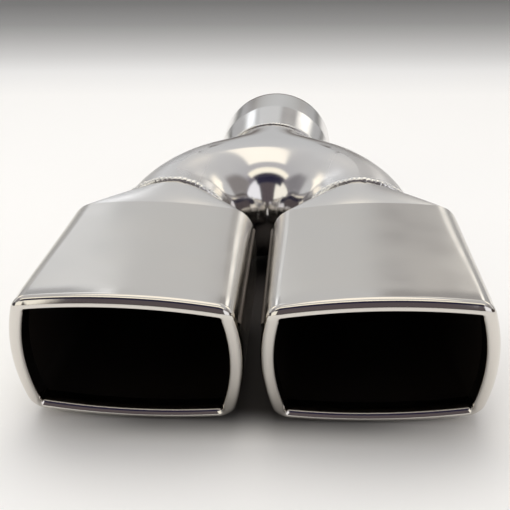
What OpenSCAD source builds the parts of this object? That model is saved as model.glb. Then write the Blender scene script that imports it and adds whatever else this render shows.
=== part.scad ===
// Twin rectangular exhaust tip, a welded stainless steel assembly.
// Two slant-cut outlet sleeves with rolled lips sit on short square-to-round cones.
// A formed Y pipe joins the cones to one slip-on inlet.
// The origin is the centre of the inlet mouth: +Y runs back into the exhaust line and +Z is up.

/* [Outlet sleeves] */
// Width of one outlet across its bowed sides
outlet_w = 86.5; // [78:0.5:105]
// Height of one outlet over its crowned top and bottom
outlet_h = 59.5; // [52:0.5:70]
// Clear gap between the two outlets
outlet_gap = 5.8; // [3:0.1:12]
// Radius of the crowned top and bottom
crown_r = 247; // [200:1:600]
// Radius of the bowed sides
side_r = 83; // [50:1:150]
// Radius of the outer corners
corner_r = 7; // [6.5:0.5:12]
// Length of a sleeve at mid height
sleeve_len = 94; // [60:1:120]
// Lean of the mouth, with the top standing forward
slant_deg = 17.5; // [0:0.5:22]
// Roll of each outlet, with its inner side lower
cant_deg = 2; // [0:0.2:5]
// Thickness of the sleeve and cone sheet
sheet_t = 1.5; // [1:0.1:2]
// Thickness of the rolled lip, from the outer face to the inner face
lip_d = 4.6; // [4:0.1:6]
// Length of the roll along the outlet
lip_roll = 4; // [2.5:0.1:6]
// Length of the sheet that is turned back inside the lip
lip_return = 5; // [2:0.5:10]

/* [Cones] */
// Length of the cone between a sleeve and the Y pipe
cone_len = 22.5; // [15:0.5:40]
// Height of the pipe axis over the middle of the outlets
pipe_lift = 4; // [0:0.1:6]

/* [Y pipe] */
// Outer diameter of the Y pipe where the legs meet and at the inlet
pipe_od = 62; // [58:0.5:64]
// Outer diameter of the two necks
neck_od = 57; // [54:0.5:60]
// Wall of the Y pipe
pipe_t = 1.5; // [1:0.1:2.5]
// Distance between the axes of the two necks
neck_spacing = 89; // [86:0.5:96]
// Centreline radius of the outer line of the bend behind each neck
neck_bend_r = 80; // [70:1:90]
// Angle that each leg turns in towards the middle
leg_deg = 44; // [40:1:45]
// Centreline radius of the bend where the legs meet the inlet
merge_bend_r = 34; // [33:1:38]
// Straight length of the inner sides before they curve into the rounded crotch
crotch_run = 10; // [6:0.5:20]

/* [Inlet] */
// Bore of the inlet collar, a slip fit over the exhaust pipe
inlet_bore = 64.5; // [60:0.5:70]
// Wall of the inlet
inlet_t = 1.5; // [1:0.1:2.5]
// Length of the flare between the Y pipe and the collar
flare_len = 31.5; // [15:0.5:45]
// Length of the straight collar
collar_len = 35.5; // [20:0.5:50]

/* [Welds] */
// Width of the beads that join the cones to the Y pipe
neck_bead_w = 4.5; // [2.5:0.1:6]
// Height of those beads over the pipe
neck_bead_h = 1.8; // [0.8:0.1:2.5]
// Width of the bead that joins the inlet to the Y pipe
inlet_bead_w = 2.6; // [1.5:0.1:4]
// Height of that bead over the pipe
inlet_bead_h = 1; // [0.5:0.1:2]
// Width of the seam along the inner side of each sleeve
seam_w = 2.4; // [1.5:0.1:3]
// Height of that seam over the sheet
seam_h = 0.8; // [0.4:0.1:1.2]

/* [Hidden] */

LEFT = -1;
RIGHT = 1;
weld_gap = 0.05;
land_margin = 0.4;
round_fn = 96;

// Straight lengths of pipe that carry the beads
neck_land = neck_bead_w + land_margin;
merge_land = inlet_bead_w + land_margin;

// Stations along Y, counted forward from the inlet mouth
leg_run = (neck_spacing / 2 - (neck_bend_r + merge_bend_r) * (1 - cos(leg_deg))) / sin(leg_deg);
y_len = neck_land + (neck_bend_r + merge_bend_r) * sin(leg_deg) + leg_run * cos(leg_deg) + merge_land;
merge_y = -collar_len - flare_len;
neck_y = merge_y - y_len;
cone_y = neck_y - cone_len;
mouth_y = cone_y - sleeve_len;

outlet_x = (outlet_w + outlet_gap) / 2;
neck_x = neck_spacing / 2;
pipe_r = pipe_od / 2;
neck_r = neck_od / 2;
inlet_r = inlet_bore / 2 + inlet_t;

// Outline of an outlet: four shallow arcs joined by four corner arcs that run tangent to them.
// Each quarter is a list of [angle of the outward normal, centre, radius].
crown_c = outlet_h / 2 - crown_r;
side_c = outlet_w / 2 - side_r;
crown_d = crown_r - corner_r;
side_d = side_r - corner_r;
base_d = norm([side_c, crown_c]);
reach = (crown_d * crown_d - side_d * side_d + base_d * base_d) / (2 * base_d);
along = [side_c, -crown_c] / base_d;
corner_c = [0, crown_c] + along * reach
    + [-along[1], along[0]] * -sqrt(crown_d * crown_d - reach * reach);
crown_end = atan2(corner_c[1] - crown_c, corner_c[0]);
side_end = atan2(corner_c[1], corner_c[0] - side_c);

side_steps = 4;
corner_steps = 6;
crown_steps = 5;
quarter = concat(
    [for (i = [0:side_steps - 1]) [side_end * i / side_steps, [side_c, 0], side_r]],
    [for (i = [0:corner_steps - 1])
        [side_end + (crown_end - side_end) * i / corner_steps, corner_c, corner_r]],
    [for (i = [0:crown_steps - 1])
        [crown_end + (90 - crown_end) * i / crown_steps, [0, crown_c], crown_r]]
);

// Mirrors one quarter into the other three, so that the normals turn once round
function flip_x(q) = [180 - q[0], [-q[1][0], q[1][1]], q[2]];
function flip_z(q) = [360 - q[0], [q[1][0], -q[1][1]], q[2]];
top_mid = [90, [0, crown_c], crown_r];
upper = concat(quarter, [top_mid], [for (i = [len(quarter) - 1:-1:0]) flip_x(quarter[i])]);
outline = concat(upper, [for (i = [len(upper) - 2:-1:1]) flip_z(upper[i])]);
ring_n = len(outline);

// Point of the outline moved inward by d
function section_pt(i, d) = outline[i][1] + (outline[i][2] - d) * [cos(outline[i][0]), sin(outline[i][0])];

// Carries a point of an outlet's own frame to the part: rolled about Y, then set off to its side
function placed(side, x, y, z) =
    let (c = cant_deg * side)
    [side * outlet_x + x * cos(c) - z * sin(c), y, x * sin(c) + z * cos(c) - pipe_lift];

// Closed skin over rings of equal length, which follow one another towards the mouth.
// A closed one joins its last ring to its first; an open one is capped at both ends.
module ring_skin(rings, closed = false) {
    n = len(rings[0]);
    m = len(rings);
    bands = closed ? m : m - 1;
    sides = [for (j = [0:bands - 1], i = [0:n - 1])
        let (a = j * n, b = ((j + 1) % m) * n, next = (i + 1) % n)
        [a + i, b + i, b + next, a + next]];
    caps = closed ? [] : [[for (i = [0:n - 1]) i], [for (i = [n - 1:-1:0]) (m - 1) * n + i]];
    polyhedron([for (r = rings) each r], concat(sides, caps), convexity = 8);
}

// Section through the sheet at the mouth, as [depth behind the mouth, distance in from the outer face].
// The sheet runs forward, rolls in through half an oval turn and ends in a short return.
lip_r = lip_d / 2;
roll_steps = 8;
curl_steps = 5;
sheet_profile = concat(
    [[sleeve_len, 0]],
    [for (i = [0:roll_steps]) let (a = 180 * i / roll_steps)
        [lip_roll * (1 - sin(a)), lip_r - lip_r * cos(a)]],
    [[lip_roll + lip_return, lip_d], [lip_roll + lip_return, lip_d - sheet_t]],
    [for (i = [curl_steps:-1:0]) let (a = 180 * i / curl_steps)
        [lip_roll - (lip_roll - sheet_t) * sin(a), lip_r - (lip_r - sheet_t) * cos(a)]],
    [[sleeve_len, sheet_t]]
);

// The lean fades from the mouth to nothing at the square rear end
function lean(depth, z) = -tan(slant_deg) * z * (depth < sleeve_len ? 1 : 0);

module outlet_sleeve(side) {
    color("silver")
    ring_skin([for (p = sheet_profile)
        [for (i = [0:ring_n - 1]) let (q = section_pt(i, p[1]))
            placed(side, q[0], mouth_y + p[0] + lean(p[0], q[1]), q[1])]], closed = true);
}

// Seam where the sheet of a sleeve closes on itself, on the inner side under the upper corner
seam_at = 0.8;
seam_profile = [[-0.5, 0], [-0.35, 0.7], [0, 1], [0.35, 0.7], [0.5, 0]];
seam_steps = 28;

module sleeve_seam(side) {
    seam_angle = side_end * seam_at;
    front = mouth_y + lip_roll - tan(slant_deg) * side_r * sin(seam_angle);
    back = cone_y - land_margin;
    color("gainsboro")
    ring_skin([for (j = [0:seam_steps])
        let (y = back + (front - back) * j / seam_steps, swell = 1 - 0.3 * pow(sin(j * 137), 2))
        [for (p = seam_profile)
            let (r = side_r + weld_gap + p[1] * seam_h * swell,
                a = seam_angle - side * p[0] * seam_w * swell / side_r * 180 / PI)
            placed(side, -side * (side_c + r * cos(a)), y, r * sin(a))]]);
}

// Cone from the outlet's outline to the round neck, swelling a little on the way
cone_rings = 4;
cone_swell = 0.3;

function cone_pt(side, i, t, d) =
    let (q = section_pt(i, d - cone_swell * 4 * t * (1 - t)), a = outline[i][0],
        s = placed(side, q[0], cone_y, q[1]),
        c = [side * neck_x + (neck_r - d) * cos(a), neck_y, (neck_r - d) * sin(a)])
    s + (c - s) * t;

module cone(side) {
    inner = [for (j = [0:cone_rings]) [j / cone_rings, sheet_t]];
    outer = [for (j = [cone_rings:-1:0]) [j / cone_rings, 0]];
    color("silver")
    ring_skin([for (p = concat(outer, inner)) [for (i = [0:ring_n - 1]) cone_pt(side, i, p[0], p[1])]],
        closed = true);
}

// Ring of weld metal round a pipe, from y forward by w, with its puddles as even ripples
bead_steps = 64;
bead_profile = [[0.02, 0], [0.12, 0.62], [0.35, 0.95], [0.65, 0.95], [0.88, 0.62], [0.98, 0]];

module ring_bead(r, y, w, h) {
    base = (r + weld_gap) / cos(180 / bead_steps);
    color("whitesmoke")
    ring_skin([for (p = bead_profile) [for (i = [0:bead_steps - 1])
        let (a = 360 * i / bead_steps, ripple = i % 2 == 0 ? 1 : 0.82, q = base + p[1] * h * ripple)
        [q * cos(a), y - w * p[0], q * sin(a)]]], closed = true);
}

module neck_weld(side) {
    translate([side * neck_x, 0, 0]) ring_bead(neck_r, neck_y + neck_bead_w, neck_bead_w, neck_bead_h);
}

module inlet_weld() {
    ring_bead(pipe_r, merge_y, inlet_bead_w, inlet_bead_h);
}

// The Y pipe is formed round a flat frame in the plane of the pipes. On each side an inner line runs
// from the neck round the crotch to the middle, and an outer line runs from the neck back to the inlet.
// The skin stands off both by the pipe's radius, with a flat strip between them.
// A station is [point of the inner line, its heading, point of the outer line, its heading],
// for the left side, with headings turned from +Y towards +X.
function ahead(h) = [sin(h), cos(h)];
function aside(h) = [cos(h), -sin(h)];

bend_steps = 9;
run_steps = 2;
merge_steps = 6;
leg_start = [-neck_x, neck_y + neck_land];
run_start = leg_start + neck_bend_r * (aside(0) - aside(leg_deg));
run_end = run_start + leg_run * ahead(leg_deg);
merge_c = run_end - merge_bend_r * aside(leg_deg);

outer_line = concat(
    [for (k = [1:bend_steps]) let (h = leg_deg * k / bend_steps)
        [leg_start + neck_bend_r * (aside(0) - aside(h)), h]],
    [for (k = [1:run_steps]) [run_start + (run_end - run_start) * k / run_steps, leg_deg]],
    [for (k = [1:merge_steps]) let (h = leg_deg * (1 - k / merge_steps)) [merge_c + merge_bend_r * aside(h), h]]
);
straight_steps = 2;
crotch_steps = len(outer_line) - straight_steps;
crotch_start = leg_start + [0, crotch_run];
inner_line = concat(
    [for (k = [1:straight_steps]) [leg_start + [0, crotch_run * k / straight_steps], 0]],
    [for (k = [1:crotch_steps]) let (h = 90 * k / crotch_steps)
        [crotch_start + neck_x * (aside(0) - aside(h)), h]]
);
on_line = [[[-neck_x, neck_y], 0], [leg_start, 0]];
stations = concat(
    [for (q = on_line) [q[0], q[1], q[0], q[1]]],
    [for (k = [0:len(outer_line) - 1]) concat(inner_line[k], outer_line[k])],
    [concat(inner_line[len(inner_line) - 1], [[0, merge_y], 0])]
);
parting = len(on_line) - 1;
middle = len(stations) - 2;

// The pipe grows from the necks to its full size over the front half of the legs
swell_steps = bend_steps;

function grown(j) = let (t = max(0, min(1, (j - parting) / swell_steps)))
    neck_r + (pipe_r - neck_r) * t * t * (3 - 2 * t);

// Each ring runs up round the inner line by half a circle and down round the outer line
half_steps = 12;
ring_len = 2 * (half_steps + 1);

function y_ring(s, side, r) = concat(
    [for (k = [0:half_steps]) let (b = -90 + 180 * k / half_steps, q = s[0] + r * cos(b) * aside(s[1]))
        [-side * q[0], q[1], r * sin(b)]],
    [for (k = [0:half_steps]) let (b = 90 - 180 * k / half_steps, q = s[2] - r * cos(b) * aside(s[3]))
        [-side * q[0], q[1], r * sin(b)]]
);

// Index of a point in the list of all rings. Where the lines are one, and where the two sides
// meet in the middle, points that fall together share one index. Behind the middle only the outer
// line is skinned.
function one_line(j, i) = j > parting ? i : i == half_steps + 1 ? half_steps : i == ring_len - 1 ? 0 : i;
function shared(j, i) = (j == middle && i < half_steps) || (j >= middle && i % (ring_len - 1) == 0)
    || (j >= middle && (i == half_steps || i == half_steps + 1));
function skinned(j, i) = j < parting ? i != half_steps && i != ring_len - 1
    : j < middle || (i > half_steps && i < ring_len - 1);
function y_index(skin, side, j, i) =
    let (k = one_line(j, i % ring_len), own = side == RIGHT && !shared(j, k) ? 1 : 0)
    ((skin * 2 + own) * len(stations) + j) * ring_len + k;

function reversed(f) = [for (k = [len(f) - 1:-1:0]) f[k]];
function distinct(f) = [for (k = [0:len(f) - 1]) if (f[k] != f[(k + 1) % len(f)]) f[k]];
function faced(f, flip) = let (g = distinct(f)) flip ? reversed(g) : g;

module y_pipe() {
    points = [for (d = [0, pipe_t], side = [LEFT, RIGHT], j = [0:len(stations) - 1])
        each y_ring(stations[j], side, grown(j) - d)];
    skins = [for (skin = [0, 1], side = [LEFT, RIGHT], j = [0:middle], i = [0:ring_len - 1])
        if (skinned(j, i))
        faced([y_index(skin, side, j, i + 1), y_index(skin, side, j + 1, i + 1),
            y_index(skin, side, j + 1, i), y_index(skin, side, j, i)], (skin == 1) != (side == RIGHT))];
    necks = [for (side = [LEFT, RIGHT], i = [0:ring_len - 1])
        if (skinned(0, i))
        faced([y_index(1, side, 0, i), y_index(1, side, 0, i + 1),
            y_index(0, side, 0, i + 1), y_index(0, side, 0, i)], side == RIGHT)];
    back = [for (side = [LEFT, RIGHT], i = [half_steps + 1:ring_len - 2])
        faced([y_index(0, side, middle + 1, i), y_index(0, side, middle + 1, i + 1),
            y_index(1, side, middle + 1, i + 1), y_index(1, side, middle + 1, i)], side == RIGHT)];
    color("lightgray")
    polyhedron(points, concat(skins, necks, back), convexity = 8);
}

// Inlet: the pipe flares from the Y pipe up to a straight collar
module inlet_pipe() {
    color("silver")
    rotate([-90, 0, 0])
    rotate_extrude($fn = round_fn)
    polygon([
        [pipe_r - inlet_t, merge_y], [pipe_r, merge_y],
        [inlet_r, -collar_len], [inlet_r, 0],
        [inlet_bore / 2, 0], [inlet_bore / 2, -collar_len]
    ]);
}

outlet_sleeve(LEFT);  // left_outlet_sleeve
outlet_sleeve(RIGHT);  // right_outlet_sleeve
sleeve_seam(LEFT);  // left_sleeve_seam
sleeve_seam(RIGHT);  // right_sleeve_seam
cone(LEFT);  // left_cone
cone(RIGHT);  // right_cone
neck_weld(LEFT);  // left_neck_weld
neck_weld(RIGHT);  // right_neck_weld
y_pipe();
inlet_weld();
inlet_pipe();
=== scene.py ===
"""Twin exhaust tip of polished stainless steel on a pale floor.

Each CAD node is replaced by a finer skin of the same form, made from the same sizes. Lengths are in
millimetres until a mesh, a material, the floor, the lamp or the camera is made.
"""

import math

import bmesh
import bpy
import numpy as np
from mathutils import Matrix, Vector


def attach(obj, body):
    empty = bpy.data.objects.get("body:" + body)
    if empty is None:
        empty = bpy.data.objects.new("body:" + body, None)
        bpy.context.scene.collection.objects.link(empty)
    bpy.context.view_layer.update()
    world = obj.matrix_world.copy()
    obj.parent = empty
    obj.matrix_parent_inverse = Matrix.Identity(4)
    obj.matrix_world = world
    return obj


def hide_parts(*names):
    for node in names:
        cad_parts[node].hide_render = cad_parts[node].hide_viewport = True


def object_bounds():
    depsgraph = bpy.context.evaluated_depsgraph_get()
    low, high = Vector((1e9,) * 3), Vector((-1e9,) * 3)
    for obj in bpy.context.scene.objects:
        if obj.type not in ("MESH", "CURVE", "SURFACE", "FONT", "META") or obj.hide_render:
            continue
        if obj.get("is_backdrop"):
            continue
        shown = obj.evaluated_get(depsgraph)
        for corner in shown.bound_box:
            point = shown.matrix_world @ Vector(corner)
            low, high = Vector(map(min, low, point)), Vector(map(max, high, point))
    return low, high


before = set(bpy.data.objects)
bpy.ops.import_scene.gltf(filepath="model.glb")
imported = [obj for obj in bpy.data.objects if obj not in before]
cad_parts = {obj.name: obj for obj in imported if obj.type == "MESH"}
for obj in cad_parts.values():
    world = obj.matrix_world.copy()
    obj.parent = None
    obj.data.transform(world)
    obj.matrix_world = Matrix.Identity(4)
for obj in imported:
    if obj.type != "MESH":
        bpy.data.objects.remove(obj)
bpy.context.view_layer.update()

LEFT, RIGHT = -1, 1
MM_PER_M = 1000

# Outlet sleeves, in mm and degrees. The slant of the mouth dies out over the last SQUARE_END of a
# sleeve.
OUTLET_W, OUTLET_H, OUTLET_GAP = 86.5, 59.5, 5.8
CROWN_R, SIDE_R, CORNER_R, REAR_CORNER_R = 247.0, 83.0, 7.0, 11.0
SLEEVE_LEN, SQUARE_END, SLANT, CANT = 94.0, 8.0, 17.5, 2.0
SHEET_T, LIP_D, LIP_ROLL, LIP_RETURN = 1.5, 4.6, 4.0, 5.0

# Cones, Y pipe and inlet
CONE_LEN, CONE_SWELL, PIPE_LIFT = 22.5, 0.3, 4.0
PIPE_OD, NECK_OD, PIPE_T, NECK_SPACING = 62.0, 57.0, 1.5, 89.0
NECK_BEND_R, LEG, MERGE_BEND_R, CROTCH_RUN = 80.0, 44.0, 34.0, 10.0
INLET_BORE, INLET_T, FLARE_LEN, COLLAR_LEN = 64.5, 1.5, 31.5, 35.5
RIM_CORNER, RIM_DEPTH = 0.15, 0.2

# Welds: width and height of each bead, where the seam runs as a share of the sleeve's side, and
# the clearances
NECK_BEAD_W, NECK_BEAD_H = 4.5, 1.8
INLET_BEAD_W, INLET_BEAD_H = 2.6, 1.0
SEAM_W, SEAM_H, SEAM_AT = 2.4, 0.8, 0.8
WELD_GAP, LAND_MARGIN = 0.05, 0.4

PIPE_R, NECK_R, NECK_X = PIPE_OD / 2, NECK_OD / 2, NECK_SPACING / 2
INLET_R = INLET_BORE / 2 + INLET_T
OUTLET_X = (OUTLET_W + OUTLET_GAP) / 2
NECK_LAND, MERGE_LAND = NECK_BEAD_W + LAND_MARGIN, INLET_BEAD_W + LAND_MARGIN


def sind(a):
    return math.sin(math.radians(a))


def cosd(a):
    return math.cos(math.radians(a))


# Stations along Y, counted forward from the inlet mouth
LEG_RUN = (NECK_X - (NECK_BEND_R + MERGE_BEND_R) * (1 - cosd(LEG))) / sind(LEG)
BENDS = (NECK_BEND_R + MERGE_BEND_R) * sind(LEG)
Y_LEN = NECK_LAND + BENDS + LEG_RUN * cosd(LEG) + MERGE_LAND
MERGE_Y = -COLLAR_LEN - FLARE_LEN
NECK_Y = MERGE_Y - Y_LEN
CONE_Y = NECK_Y - CONE_LEN
MOUTH_Y = CONE_Y - SLEEVE_LEN
SLOPE = math.tan(math.radians(SLANT))


# Meshes

SHARP_ANGLE = 34
WELD_DISTANCE = 1e-6


def mesh_piece(name, patches, material, node, weld=WELD_DISTANCE):
    """One piece made of grids of points in mm, welded together. patches is a list of
    (grid, material index)."""
    points, faces, indices = [], [], []
    for grid, index in patches:
        base = len(points)
        rows, cols = grid.shape[:2]
        points.extend((grid.reshape(-1, 3) / MM_PER_M).tolist())
        for j in range(rows - 1):
            for i in range(cols - 1):
                a = base + j * cols + i
                faces.append((a, a + 1, a + cols + 1, a + cols))
                indices.append(index)
    mesh = bpy.data.meshes.new(name)
    mesh.from_pydata(points, [], faces)
    mesh.polygons.foreach_set("material_index", indices)
    bm = bmesh.new()
    bm.from_mesh(mesh)
    bmesh.ops.remove_doubles(bm, verts=bm.verts, dist=weld)
    bmesh.ops.dissolve_degenerate(bm, edges=bm.edges, dist=weld / 2)
    bmesh.ops.recalc_face_normals(bm, faces=bm.faces)
    bm.to_mesh(mesh)
    bm.free()
    mesh.polygons.foreach_set("use_smooth", [True] * len(mesh.polygons))
    mesh.set_sharp_from_angle(angle=math.radians(SHARP_ANGLE))
    for m in material:
        mesh.materials.append(m)
    piece = bpy.data.objects.new(name, mesh)
    bpy.context.collection.objects.link(piece)
    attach(piece, "root")
    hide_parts(node)
    return piece


def closed(rings):
    """A list of rings of points as one grid whose rings close on themselves."""
    return np.array([np.vstack([ring, ring[:1]]) for ring in rings])


def eased(t):
    """A share from 0 to 1 that starts and ends gently."""
    t = np.clip(t, 0, 1)
    return t * t * (3 - 2 * t)


# Outline of an outlet: four shallow arcs joined by corner arcs that run tangent to them

def outline_arcs(corner_r, side_steps=14, corner_steps=16, crown_steps=28):
    """Points of the outline as [angle of the outward normal, centre x, centre z, radius], and the
    angle at which its side arc ends."""
    crown_c, side_c = OUTLET_H / 2 - CROWN_R, OUTLET_W / 2 - SIDE_R
    crown_d, side_d = CROWN_R - corner_r, SIDE_R - corner_r
    base = math.hypot(side_c, crown_c)
    reach = (crown_d**2 - side_d**2 + base**2) / (2 * base)
    along = np.array([side_c, -crown_c]) / base
    across = np.array([-along[1], along[0]])
    corner = np.array([0, crown_c]) + along * reach - across * math.sqrt(crown_d**2 - reach**2)
    crown_end = math.degrees(math.atan2(corner[1] - crown_c, corner[0]))
    side_end = math.degrees(math.atan2(corner[1], corner[0] - side_c))
    side_angles = np.linspace(0, side_end, side_steps, endpoint=False)
    corner_angles = np.linspace(side_end, crown_end, corner_steps, endpoint=False)
    crown_angles = np.linspace(crown_end, 90, crown_steps)
    quarter = [(a, side_c, 0.0, SIDE_R) for a in side_angles]
    quarter += [(a, corner[0], corner[1], corner_r) for a in corner_angles]
    quarter += [(a, 0.0, crown_c, CROWN_R) for a in crown_angles]
    upper = quarter + [(180 - a, -x, z, r) for a, x, z, r in quarter[-2::-1]]
    lower = [(360 - a, x, -z, r) for a, x, z, r in upper[-2:0:-1]]
    return np.array(upper + lower), side_end


OUTLINE, SIDE_END = outline_arcs(CORNER_R)
REAR_OUTLINE, _ = outline_arcs(REAR_CORNER_R)
NORMAL_X = np.cos(np.radians(OUTLINE[:, 0]))
NORMAL_Z = np.sin(np.radians(OUTLINE[:, 0]))


def section(d, rear=0.0):
    """The outline moved inward by d, as x and z. Its corners soften as rear goes from 0 to 1."""
    points = []
    for outline in (OUTLINE, REAR_OUTLINE):
        a = np.radians(outline[:, 0])
        r = outline[:, 3] - d
        points.append(np.array([outline[:, 1] + r * np.cos(a), outline[:, 2] + r * np.sin(a)]))
    return points[0] + (points[1] - points[0]) * rear


def placed(side, x, y, z):
    """Carries points of an outlet's own frame to the part."""
    c, s = cosd(CANT * side), sind(CANT * side)
    return np.stack([side * OUTLET_X + x * c - z * s, y + 0 * x, x * s + z * c - PIPE_LIFT], -1)


def sleeve_ring(side, depth, d):
    """The outline at a depth behind the slanted mouth, moved inward by d."""
    x, z = section(d, eased((np.mean(depth) - LIP_ROLL) / (SLEEVE_LEN - LIP_ROLL)))
    lean = SLOPE * z * np.minimum(1, (SLEEVE_LEN - depth) / SQUARE_END)
    return placed(side, x, MOUTH_Y + depth - lean, z)


# Lip: how far in its crest lies at mid height and how much that grows upward, how full its bend is
# (2 is an oval), and the same on the sides, where it also reaches further in
CREST, CREST_RISE, CREST_SIDE = 2.75, 1.35, 3.7
FULLNESS, FULLER_SIDE, WIDER_SIDE = 1.6, 1.1, 0.9
TUCK_RATIO, CURL_GAP = 1.4, 1
LIP_TURN = np.linspace(0, 90, 25)
CURL_TURN = np.linspace(180, 0, 9)

# Depths behind the mouth at which the skin, the lip's fold and the lining have a ring
SKIN_DEPTHS = (SLEEVE_LEN, 90, 82, 72, 62, 52, 43, 35, 28, 22, 17, 13, 10, 8, 6.5, 5.2, 4.5)
FOLD_DEPTHS = (5.2, 6, 7, LIP_ROLL + LIP_RETURN)
LINING_DEPTHS = (7, 10, 30, 60, 86, SLEEVE_LEN)


def outlet_sleeve(side, name, materials):
    flank = NORMAL_X ** 2
    crest = (CREST + CREST_RISE * NORMAL_Z) * (1 - flank) + CREST_SIDE * flank
    fullness = FULLNESS + FULLER_SIDE * flank
    edge = LIP_D + WIDER_SIDE * flank
    tuck = edge - crest
    tuck_depth = TUCK_RATIO * tuck

    def bent(v):
        """A sine bent so that the lip turns in a flatter slope or a fuller curve than an oval."""
        return abs(v) ** (2 / fullness)

    outer = [(depth, 0.0) for depth in SKIN_DEPTHS]
    roll = [(LIP_ROLL * (1 - bent(sind(a))), crest * (1 - bent(cosd(a)))) for a in LIP_TURN]
    inward = [
        (tuck_depth * (1 - bent(sind(a))), crest + tuck * bent(cosd(a)))
        for a in LIP_TURN[-2::-1]
    ]
    fold = [(depth, edge) for depth in FOLD_DEPTHS]
    end = (LIP_ROLL + LIP_RETURN, edge - SHEET_T)
    half = edge / 2
    curl_r = LIP_ROLL - SHEET_T
    curl = [
        (LIP_ROLL + CURL_GAP - curl_r * sind(a), half - (half - SHEET_T) * cosd(a))
        for a in CURL_TURN
    ]
    inner = [(depth, SHEET_T) for depth in LINING_DEPTHS]
    skin = [sleeve_ring(side, *p) for p in outer + roll + inward + fold]
    back = [sleeve_ring(side, *p) for p in [fold[-1], end] + curl + inner + [outer[0]]]
    patches = [(closed(skin), 0), (closed(back), 1)]
    return mesh_piece(name, patches, materials, name)


CONE_RINGS = 17


def cone(side, name, materials):
    def ring(t, d):
        """From the sleeve's outline at t = 0 to the round neck at t = 1, slightly swollen between."""
        x, z = section(d - CONE_SWELL * 4 * t * (1 - t), 1.0)
        start = placed(side, x, CONE_Y, z)
        end = np.stack([
            side * NECK_X + (NECK_R - d) * NORMAL_X,
            NECK_Y + 0 * NORMAL_X,
            (NECK_R - d) * NORMAL_Z,
        ], -1)
        return start + (end - start) * t

    steps = np.linspace(0, 1, CONE_RINGS)
    outer = closed([ring(t, 0.0) for t in steps])
    inner = closed([ring(t, SHEET_T) for t in steps[::-1]])
    front = closed([ring(0, SHEET_T), ring(0, 0.0)])
    rear = closed([ring(1, 0.0), ring(1, SHEET_T)])
    patches = [(outer, 0), (front, 1), (inner, 1), (rear, 1)]
    return mesh_piece(name, patches, materials, name)


# Y pipe: on each side an inner line round the crotch and an outer line back to the inlet

def ahead(h):
    return np.array([sind(h), cosd(h)])


def aside(h):
    return np.array([cosd(h), -sind(h)])


# Both lines are walked by one number u. The outer line bends, runs straight and bends back; the
# inner line runs straight and turns round the crotch.
BEND_END, RUN_END, MERGE_END, STRAIGHT_END = 9, 11, 17, 2
LEG_START = np.array([-NECK_X, NECK_Y + NECK_LAND])
Y_WELD_DISTANCE = 2e-5


def outer_line(u):
    """The point of the outer line at u, and its heading."""
    h = LEG * min(1, u / BEND_END)
    if u <= BEND_END:
        return LEG_START + NECK_BEND_R * (aside(0) - aside(h)), h
    bend_end = LEG_START + NECK_BEND_R * (aside(0) - aside(LEG))
    run = min(1, (u - BEND_END) / (RUN_END - BEND_END))
    point = bend_end + LEG_RUN * run * ahead(LEG)
    if u <= RUN_END:
        return point, LEG
    h = LEG * (MERGE_END - u) / (MERGE_END - RUN_END)
    return point + MERGE_BEND_R * (aside(h) - aside(LEG)), h


def inner_line(u):
    """The point of the inner line at u, and its heading."""
    straight = LEG_START + np.array([0, CROTCH_RUN * min(1, u / STRAIGHT_END)])
    h = 90 * max(0, u - STRAIGHT_END) / (MERGE_END - STRAIGHT_END)
    return straight + NECK_X * (aside(0) - aside(h)), h


def grown(u):
    """The pipe's radius at u: the neck's at first, the full pipe's from BEND_END."""
    return NECK_R + (PIPE_R - NECK_R) * eased(u / BEND_END)


def y_halves(side, wall, strip=5, steps=30, n=86):
    """The inner half with the flat strips, and the outer half with the land behind the middle."""
    b = np.radians(np.linspace(-90, 90, steps))
    neck = np.array([-NECK_X, NECK_Y])
    stations = [(neck, 0, neck, 0, NECK_R)]
    for u in np.linspace(0, MERGE_END, n):
        stations.append((*inner_line(u), *outer_line(u), grown(u)))
    inner_rows, outer_rows = [], []
    for p, hp, q, hq, radius in stations:
        r = radius - wall
        inner_xy = p[None] + r * np.cos(b)[:, None] * aside(hp)[None]
        outer_xy = q[None] - r * np.cos(b)[:, None] * aside(hq)[None]
        inner = np.column_stack([-side * inner_xy[:, 0], inner_xy[:, 1], r * np.sin(b)])
        outer = np.column_stack([-side * outer_xy[:, 0], outer_xy[:, 1], r * np.sin(b)])
        t = np.linspace(0, 1, strip)[:, None]
        top = inner[-1] + (outer[-1] - inner[-1]) * t
        low = outer[0] + (inner[0] - outer[0]) * t
        inner_rows.append(np.vstack([low[:-1], inner, top[1:]]))
        outer_rows.append(outer)
    last = outer_rows[-1].copy()
    last[:, 1] = MERGE_Y
    outer_rows.append(last)
    return np.array(inner_rows), np.array(outer_rows)


def y_pipe(materials):
    patches = []
    for side in (LEFT, RIGHT):
        skin, lining = y_halves(-side, 0), y_halves(-side, PIPE_T)
        patches += [(grid, 0) for grid in skin] + [(grid, 1) for grid in lining]
        for k in (0, 1):
            patches.append((np.array([skin[k][0], lining[k][0]]), 1))
        patches.append((np.array([skin[1][-1], lining[1][-1]]), 1))
    return mesh_piece("y_pipe", patches, materials, "y_pipe", weld=Y_WELD_DISTANCE)


def circle(x, y, r, n=192):
    a = np.linspace(0, 2 * math.pi, n, endpoint=False)
    return np.stack([x + r * np.cos(a), y + 0 * a, r * np.sin(a)], -1)


FLARE_RINGS = 24
COLLAR_SHARES = (0.97, 0.9, 0.5, 0.1, 0.02)


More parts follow.
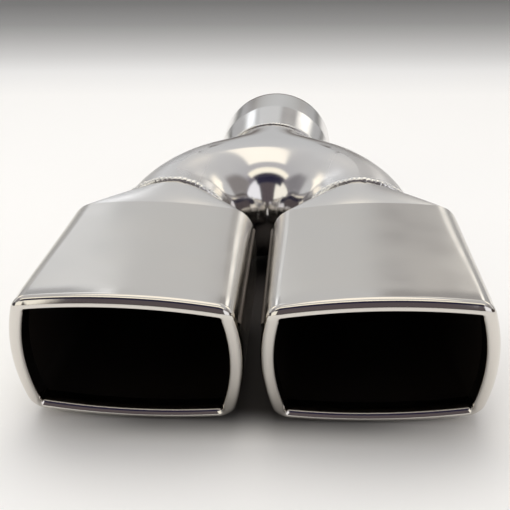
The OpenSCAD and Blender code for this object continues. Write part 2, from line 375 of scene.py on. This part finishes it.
def inlet_pipe(materials):
    flare = np.linspace(0, 1, FLARE_RINGS)[1:]
    outer = [(MERGE_Y, PIPE_R)]
    outer += [(MERGE_Y + FLARE_LEN * t, PIPE_R + (INLET_R - PIPE_R) * t) for t in flare]
    outer += [(-COLLAR_LEN * share, INLET_R) for share in COLLAR_SHARES]
    bore_r = INLET_BORE / 2
    rim = [(0.0, INLET_R - RIM_CORNER), (0.0, bore_r + RIM_CORNER)]
    inner = [(-RIM_DEPTH, bore_r), (-COLLAR_LEN, bore_r), (MERGE_Y, PIPE_R - INLET_T)]
    skin = closed([circle(0, y, r) for y, r in outer + rim])
    back = closed([circle(0, y, r) for y, r in [rim[-1]] + inner + [outer[0]]])
    patches = [(skin, 0), (back, 1)]
    return mesh_piece("inlet_pipe", patches, materials, "inlet_pipe")


# Welds: overlapping puddles that follow one another round the joint

PUDDLE_STEPS, BEAD_ROWS = 8, 15
PUDDLE_SCALE, PUDDLE_SHIFT = (0.72, 1.0), (-0.1, 0.1)
PUDDLE_BASE, PUDDLE_FALL, SHIFT_SHARE, BEAD_ROUNDNESS = 0.35, 0.9, 0.6, 0.6
BEAD_SETBACK, BEAD_EDGES = 0.05, (0.98, 0.02)


def weld_ring(x, y, r, w, h, name, materials, puddles, seed):
    """A bead of width w and height h round a pipe of radius r, laid forward from y."""
    rng = np.random.default_rng(seed)
    n = puddles * PUDDLE_STEPS
    a = np.linspace(0, 2 * math.pi, n, endpoint=False)
    phase = a / (2 * math.pi) * puddles
    scale = rng.uniform(*PUDDLE_SCALE, puddles)
    shift = rng.uniform(*PUDDLE_SHIFT, puddles)
    k = np.floor(phase).astype(int) % puddles
    f = phase % 1
    crest = np.sqrt(np.clip(1 - (f * PUDDLE_FALL) ** 2, 0, 1)) * scale[k]
    far, near = BEAD_EDGES
    rows = []
    for t in np.linspace(0, 1, BEAD_ROWS):
        u = 2 * t - 1
        bulge = h * (1 - u * u) ** BEAD_ROUNDNESS * (PUDDLE_BASE + (1 - PUDDLE_BASE) * crest)
        yy = y - w * (t + shift[k] * (1 - u * u) * SHIFT_SHARE) - BEAD_SETBACK
        yy = np.clip(yy, y - w * far, y - w * near)
        rr = r + WELD_GAP + bulge
        rows.append(np.stack([x + rr * np.cos(a), yy, rr * np.sin(a)], -1))
    under = [circle(x, y - w * t, r + WELD_GAP, n) for t in BEAD_EDGES]
    ring = closed(rows + under + rows[:1])
    return mesh_piece(name, [(ring, 0)], materials, name)


SEAM_STEPS, SEAM_POINTS, RIPPLE_STEPS, RIPPLE_SHARE = 180, 9, 6, 0.18


def sleeve_seam(side, name, materials):
    """A low rippled bead along the inner side of a sleeve, from the cone to the lip."""
    angle = SIDE_END * SEAM_AT
    side_c = OUTLET_W / 2 - SIDE_R
    front = MOUTH_Y + LIP_ROLL - SLOPE * SIDE_R * sind(angle)
    back = CONE_Y - LAND_MARGIN
    rows = []
    for j in range(SEAM_STEPS + 1):
        y = back + (front - back) * j / SEAM_STEPS
        beat = abs(math.sin(j * math.pi / RIPPLE_STEPS))
        swell = (1 - RIPPLE_SHARE) + RIPPLE_SHARE * beat
        row = []
        for p in np.linspace(-0.5, 0.5, SEAM_POINTS):
            r = SIDE_R + WELD_GAP + SEAM_H * swell * (1 - 4 * p * p)
            a = angle - side * math.degrees(p * SEAM_W * swell / SIDE_R)
            x, z = np.array(-side * (side_c + r * cosd(a))), np.array(r * sind(a))
            row.append(placed(side, x, y, z))
        rows.append(np.array(row))
    return mesh_piece(name, [(np.array(rows), 0)], materials, name)


# Materials

COLOUR_A, COLOUR_B, COLOUR_OUT = 6, 7, 2  # the colour sockets of a Mix node


def node(tree, kind, **values):
    """A new node. A value sets the node's own property, or else the input socket of that name."""
    n = tree.nodes.new(kind)
    for key, value in values.items():
        if hasattr(n, key):
            setattr(n, key, value)
        else:
            n.inputs[key.replace("_", " ")].default_value = value
    return n


def maths(tree, operation, a, b=None):
    """The result of one operation on a socket and, if given, on another socket or a number."""
    n = node(tree, "ShaderNodeMath", operation=operation)
    tree.links.new(a, n.inputs[0])
    if isinstance(b, bpy.types.NodeSocket):
        tree.links.new(b, n.inputs[1])
    elif b is not None:
        n.inputs[1].default_value = b
    return n.outputs[0]


def soft_step(tree, value, start, end, low=0.0, high=1.0):
    """Goes smoothly from low to high while value goes from start to end."""
    n = node(tree, "ShaderNodeMapRange", interpolation_type="SMOOTHSTEP",
             From_Min=start, From_Max=end, To_Min=low, To_Max=high)
    tree.links.new(value, n.inputs["Value"])
    return n


def painted(tree, colour, mask, over):
    """A colour socket with a plain colour laid over it where the mask is 1."""
    mix = node(tree, "ShaderNodeMix", data_type="RGBA")
    tree.links.new(mask, mix.inputs["Factor"])
    tree.links.new(colour, mix.inputs[COLOUR_A])
    mix.inputs[COLOUR_B].default_value = (*over, 1)
    return mix.outputs[COLOUR_OUT]


def tone_ramp(tree, value, tones):
    """A colour ramp through [(place from 0 to 1, colour)]; the first and the last are its ends."""
    ramp = node(tree, "ShaderNodeValToRGB")
    elements = ramp.color_ramp.elements
    elements[0].color = (*tones[0][1], 1)
    elements[1].color = (*tones[-1][1], 1)
    for at, tone in tones[1:-1]:
        elements.new(at).color = (*tone, 1)
    tree.links.new(value, ramp.inputs["Fac"])
    return ramp.outputs["Color"]


def grain_group():
    """Fine polishing lines along Y and broad soft patches, as two masks from 0 to 1."""
    tree = bpy.data.node_groups.new("grain", "ShaderNodeTree")
    for name in ("Lines", "Patches"):
        tree.interface.new_socket(name=name, in_out="OUTPUT", socket_type="NodeSocketFloat")
    place = node(tree, "ShaderNodeTexCoord")
    stretch = node(tree, "ShaderNodeMapping", Scale=(900, 9, 900))
    lines = node(tree, "ShaderNodeTexNoise", Scale=1.0, Detail=3.0, Roughness=0.6)
    patches = node(tree, "ShaderNodeTexNoise", Scale=38.0, Detail=2.0, Roughness=0.5)
    out = node(tree, "NodeGroupOutput")
    tree.links.new(place.outputs["Object"], stretch.inputs["Vector"])
    tree.links.new(stretch.outputs["Vector"], lines.inputs["Vector"])
    tree.links.new(place.outputs["Object"], patches.inputs["Vector"])
    tree.links.new(lines.outputs[0], out.inputs["Lines"])
    tree.links.new(patches.outputs[0], out.inputs["Patches"])
    return tree


GRAIN = grain_group()
PATCH_LOW, PATCH_HIGH = 0.35, 0.65  # the patches' mask hardly leaves this range


def steel(name, colour, smooth, rough, lines=0.0, dents=0.0, polished=None):
    """Stainless steel whose roughness runs from smooth to rough over soft patches. lines and dents
    are heights in metres. polished is a direction, the start and end in mm of the change along it,
    whether both ways count, and the polished roughness."""
    m = bpy.data.materials.new(name)
    m.use_nodes = True
    tree = m.node_tree
    shader = tree.nodes["Principled BSDF"]
    shader.inputs["Base Color"].default_value = (*colour, 1)
    shader.inputs["Metallic"].default_value = 1.0
    grain = node(tree, "ShaderNodeGroup", node_tree=GRAIN)
    spread = node(tree, "ShaderNodeMapRange",
                  From_Min=PATCH_LOW, From_Max=PATCH_HIGH, To_Min=smooth, To_Max=rough)
    tree.links.new(grain.outputs["Patches"], spread.inputs["Value"])
    roughness = spread.outputs["Result"]
    if polished:
        direction, start, end, both_ways, polish = polished
        where = node(tree, "ShaderNodeTexCoord")
        along = node(tree, "ShaderNodeVectorMath", operation="DOT_PRODUCT")
        along.inputs[1].default_value = direction
        tree.links.new(where.outputs["Object"], along.inputs[0])
        reach = along.outputs["Value"]
        if both_ways:
            reach = maths(tree, "ABSOLUTE", reach)
        body = soft_step(tree, reach, start / MM_PER_M, end / MM_PER_M, low=polish)
        tree.links.new(roughness, body.inputs["To Max"])
        roughness = body.outputs["Result"]
    tree.links.new(roughness, shader.inputs["Roughness"])
    normal = None
    for mask, height in (("Lines", lines), ("Patches", dents)):
        if height:
            bump = node(tree, "ShaderNodeBump", Strength=1.0, Distance=height)
            tree.links.new(grain.outputs[mask], bump.inputs["Height"])
            if normal:
                tree.links.new(normal, bump.inputs["Normal"])
            normal = bump.outputs["Normal"]
    if normal:
        tree.links.new(normal, shader.inputs["Normal"])
    return m


def dull(name, colour, roughness, specular=None):
    """A plain matt material."""
    m = bpy.data.materials.new(name)
    m.use_nodes = True
    shader = m.node_tree.nodes["Principled BSDF"]
    shader.inputs["Base Color"].default_value = (*colour, 1)
    shader.inputs["Roughness"].default_value = roughness
    if specular is not None:
        shader.inputs["Specular IOR Level"].default_value = specular
    return m


# The lips, the nose of the Y pipe and the inlet are polished; the rest is satin
LIP_END = MOUTH_Y + LIP_ROLL
LIP_POLISH = ((0, 1, SLOPE), LIP_END, LIP_END + 9, False, 0.08)
NOSE_POLISH = ((1, 0, 0), 18, 36, True, 0.13)
sleeve_steel = steel("sleeve_steel", (0.70, 0.67, 0.625), 0.20, 0.27, 4e-6, 1.2e-4, LIP_POLISH)
pipe_steel = steel("pipe_steel", (0.74, 0.72, 0.70), 0.24, 0.34, 3e-6, 1.0e-4, NOSE_POLISH)
inlet_steel = steel("inlet_steel", (0.83, 0.81, 0.78), 0.10, 0.17, lines=3e-6)
cone_steel = steel("cone_steel", (0.73, 0.71, 0.685), 0.18, 0.25, lines=4e-6)
weld_steel = steel("weld_steel", (0.84, 0.83, 0.80), 0.15, 0.35, dents=2e-4)
seam_steel = steel("seam_steel", (0.12, 0.10, 0.085), 0.40, 0.55, dents=2e-4)
# Painted shade: the insides of the sheets are near black, for the hollows that lie in shade
inside = dull("inside_shade", (0.012, 0.009, 0.007), 0.7, specular=0.1)


# The part

NECK_PUDDLES, INLET_PUDDLES = 76, 110
NECK_SEED, INLET_SEED = 5, 11

outlet_sleeve(LEFT, "left_outlet_sleeve", [sleeve_steel, inside])
outlet_sleeve(RIGHT, "right_outlet_sleeve", [sleeve_steel, inside])
cone(LEFT, "left_cone", [cone_steel, inside])
cone(RIGHT, "right_cone", [cone_steel, inside])
y_pipe([pipe_steel, inside])
inlet_pipe([inlet_steel, inside])
for side, word in ((LEFT, "left"), (RIGHT, "right")):
    weld_ring(side * NECK_X, NECK_Y + NECK_BEAD_W, NECK_R, NECK_BEAD_W, NECK_BEAD_H,
              word + "_neck_weld", [weld_steel], NECK_PUDDLES, NECK_SEED + side)
    sleeve_seam(side, word + "_sleeve_seam", [seam_steel])
weld_ring(0, MERGE_Y, PIPE_R, INLET_BEAD_W, INLET_BEAD_H,
          "inlet_weld", [weld_steel], INLET_PUDDLES, INLET_SEED)


# Stage: a pale floor whose colour darkens towards the dark end of the room (painted shade), with a
# painted shadow under the part. Lengths are in metres.

FLOOR_SIZE, FLOOR_CLEARANCE, FLOOR_ROUGHNESS = 8, 0.0001, 0.7
# The floor's colour darkens from FADE_START to FADE_END behind the part: painted shade for the dim
# far end of the room
FADE_START, FADE_END = 0.30, 1.00
FLOOR_TONES = [
    (0.00, (0.90, 0.893, 0.88)),
    (0.17, (0.80, 0.80, 0.80)),
    (0.31, (0.60, 0.60, 0.60)),
    (0.49, (0.42, 0.42, 0.42)),
    (0.67, (0.28, 0.28, 0.28)),
    (1.00, (0.16, 0.16, 0.16)),
]
# Painted shadow under the part, along each axis: centre, half of the width and half of the soft edge
PAINTED_SHADOW = {"X": (0.0, 0.058, 0.022), "Y": (-0.190, 0.088, 0.014)}
PAINTED_SHADOW_COLOUR = (0.035, 0.030, 0.028)


def floor():
    bpy.ops.mesh.primitive_plane_add(
        size=FLOOR_SIZE, location=(0, 0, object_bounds()[0].z - FLOOR_CLEARANCE))
    plane = bpy.context.object
    plane.name = "floor"
    paint = dull("floor", FLOOR_TONES[0][1], FLOOR_ROUGHNESS)
    tree = paint.node_tree
    place = node(tree, "ShaderNodeTexCoord")
    split = node(tree, "ShaderNodeSeparateXYZ")
    tree.links.new(place.outputs["Object"], split.inputs[0])
    # painted shade: the floor's colour darkens with distance along Y
    reach = node(tree, "ShaderNodeMapRange", From_Min=FADE_START, From_Max=FADE_END)
    tree.links.new(split.outputs["Y"], reach.inputs["Value"])
    colour = tone_ramp(tree, reach.outputs["Result"], FLOOR_TONES)
    # the painted shadow: the floor's colour goes near black under the part
    shadow_masks = []
    for axis, (centre, half, soft) in PAINTED_SHADOW.items():
        away = maths(tree, "ABSOLUTE", maths(tree, "SUBTRACT", split.outputs[axis], centre))
        shadow_masks.append(soft_step(tree, away, half + soft, half - soft).outputs["Result"])
    colour = painted(tree, colour, maths(tree, "MULTIPLY", *shadow_masks), PAINTED_SHADOW_COLOUR)
    tree.links.new(colour, tree.nodes["Principled BSDF"].inputs["Base Color"])
    plane.data.materials.append(paint)
    plane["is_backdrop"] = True


floor()


# The room that the metal mirrors, in degrees: "round" goes from the rear horizon over the top to
# the front horizon, and "across" is the angle to the right of the middle plane

ROOM_TONES = [
    (0, (0.12, 0.10, 0.09)),
    (4, (0.19, 0.17, 0.16)),
    (9, (0.48, 0.475, 0.47)),
    (15, (0.64, 0.65, 0.665)),
    (34, (0.70, 0.705, 0.72)),
    (60, (0.66, 0.66, 0.67)),
    (86, (0.60, 0.60, 0.62)),
    (98, (0.56, 0.55, 0.58)),
    (112, (0.25, 0.23, 0.27)),
    (128, (0.14, 0.13, 0.15)),
    (180, (0.10, 0.09, 0.085)),
]
# Soft windows and dark openings, each laid over those before it: round from and to, across from
# and to, how much of that width is left at the rear end, soft edge, colour
SCREENS = [
    # grey walls low at the rear, behind the flare's sides
    (-9, 12, -40, -12.5, 1.0, 1.5, (0.46, 0.46, 0.47)),
    (-9, 12, 11.5, 40, 1.0, 1.5, (0.46, 0.46, 0.47)),
    # darker walls that the tops of the sleeves mirror
    (16, 27, 3, 36, 1.0, 2.0, (0.40, 0.39, 0.39)),
    (16, 27, -38, -13, 1.0, 3.0, (0.46, 0.47, 0.49)),
    # dark stretches on either side of the ceiling
    (60, 118, 40, 68, 1.0, 5.0, (0.30, 0.28, 0.28)),
    (60, 118, -68, -42, 1.0, 5.0, (0.28, 0.27, 0.29)),
    # rear windows: the flare's white stripes and the bright edges of the sleeves' tops
    (26, 34, 8, 18, 1.0, 1.0, (1.20, 1.17, 1.12)),
    (9, 19, 13, 23, 1.0, 1.2, (1.45, 1.42, 1.36)),
    (13.5, 18.5, -22, -13.5, 1.0, 1.2, (1.36, 1.40, 1.46)),
    (25, 33, -29, -10.5, 1.0, 1.0, (1.40, 1.43, 1.48)),
    (20, 46, 27, 43, 1.0, 2.0, (1.55, 1.46, 1.28)),
    (20, 46, -43, -29, 1.0, 2.0, (1.55, 1.46, 1.28)),
    # ceiling windows that the nose mirrors, one a wedge and one a narrow strip
    (38, 85, -19, 18, 0.12, 1.5, (1.40, 1.33, 1.20)),
    (98, 110, -38, 31, 1.0, 1.5, (1.35, 1.28, 1.10)),
    # front windows: the white lobes beside the nose and the pale lips
    (120, 184, 22, 64, 1.0, 3.0, (1.10, 1.10, 1.16)),
    (120, 184, -64, -22, 1.0, 3.0, (1.20, 1.16, 1.05)),
    # the dark band over the front wall, and the wall between the front windows
    (111, 131, -36, 25, 1.0, 2.5, (0.022, 0.020, 0.050)),
    (131, 172, -18, 18, 1.0, 4.0, (0.12, 0.10, 0.11)),
    # dark side walls
    (-9, 189, 68, 99, 1.0, 3.0, (0.07, 0.055, 0.05)),
    (-9, 189, -99, -68, 1.0, 3.0, (0.06, 0.055, 0.065)),
]
HALF_TURN = 180


def room():
    world = bpy.data.worlds.new("room")
    bpy.context.scene.world = world
    world.use_nodes = True
    tree = world.node_tree
    tree.nodes.clear()
    place = node(tree, "ShaderNodeTexCoord")
    split = node(tree, "ShaderNodeSeparateXYZ")
    tree.links.new(place.outputs["Generated"], split.inputs[0])
    lift = maths(tree, "ARCTAN2", split.outputs["Z"], split.outputs["Y"])
    round_deg = maths(tree, "DEGREES", lift)
    across_deg = maths(tree, "DEGREES", maths(tree, "ARCSINE", split.outputs["X"]))
    share = maths(tree, "DIVIDE", round_deg, HALF_TURN)
    colour = tone_ramp(tree, share, [(angle / HALF_TURN, tone) for angle, tone in ROOM_TONES])
    for round_from, round_to, across_from, across_to, rear_share, soft, tone in SCREENS:
        across = across_deg
        if rear_share != 1:
            width = node(tree, "ShaderNodeMapRange",
                         From_Min=round_from, From_Max=round_to, To_Min=rear_share)
            tree.links.new(round_deg, width.inputs["Value"])
            across = maths(tree, "DIVIDE", across, width.outputs["Result"])
        mask = None
        sides = ((round_deg, round_from, round_to), (across, across_from, across_to))
        for value, low, high in sides:
            rising = soft_step(tree, value, low - soft, low + soft)
            falling = soft_step(tree, value, high - soft, high + soft, low=1.0, high=0.0)
            for edge in (rising, falling):
                edge = edge.outputs["Result"]
                mask = maths(tree, "MULTIPLY", mask, edge) if mask else edge
        colour = painted(tree, colour, mask, tone)
    back = node(tree, "ShaderNodeBackground")
    tree.links.new(colour, back.inputs["Color"])
    out = node(tree, "ShaderNodeOutputWorld")
    tree.links.new(back.outputs[0], out.inputs["Surface"])


room()


# A soft light from overhead that fills the floor. The metal sees only the room.

LAMP_AT, LAMP_AIM, LAMP_SIZE, LAMP_WATTS = (-0.1, -0.1, 1.2), (0, -0.1, 0), 1.2, 9


def lamp():
    data = bpy.data.lights.new("overhead", "AREA")
    data.shape = "RECTANGLE"
    data.size = data.size_y = LAMP_SIZE
    data.energy = LAMP_WATTS
    light = bpy.data.objects.new("overhead", data)
    bpy.context.collection.objects.link(light)
    light.location = LAMP_AT
    light.rotation_mode = "QUATERNION"
    light.rotation_quaternion = (Vector(LAMP_AIM) - Vector(LAMP_AT)).to_track_quat("-Z", "Y")
    light.visible_glossy = False


lamp()


# Camera, matched to the photograph: place in mm, turns in radians, the rest in pixels of its frame

CAMERA_AT = (19.57, -585.2, 161.8)
YAW, PITCH, ROLL = -0.0598, 0.349, 0.0131
FOCAL_PX, FRAME_PX, CENTRE_PX = 937.5, 510, (254, 219.5)
SENSOR_MM, CLIP_START = 36, 0.01


def camera():
    data = bpy.data.cameras.new("camera")
    shot = bpy.data.objects.new("camera", data)
    bpy.context.collection.objects.link(shot)
    bpy.context.scene.camera = shot
    data.sensor_width = SENSOR_MM
    data.lens = FOCAL_PX / FRAME_PX * SENSOR_MM
    data.shift_x = (FRAME_PX / 2 - CENTRE_PX[0]) / FRAME_PX
    data.shift_y = (CENTRE_PX[1] - FRAME_PX / 2) / FRAME_PX
    data.clip_start = CLIP_START
    forward = Vector((
        math.sin(YAW) * math.cos(PITCH),
        math.cos(YAW) * math.cos(PITCH),
        -math.sin(PITCH),
    ))
    level_right = Vector((math.cos(YAW), -math.sin(YAW), 0))
    level_down = forward.cross(level_right)
    right = math.cos(ROLL) * level_right + math.sin(ROLL) * level_down
    down = -math.sin(ROLL) * level_right + math.cos(ROLL) * level_down
    columns = (right, -down, -forward, Vector(CAMERA_AT) / MM_PER_M)
    rows = [[column[i] for column in columns] for i in range(3)]
    shot.matrix_world = Matrix(rows + [[0, 0, 0, 1]])


camera()

bpy.context.scene.view_settings.view_transform = "Standard"
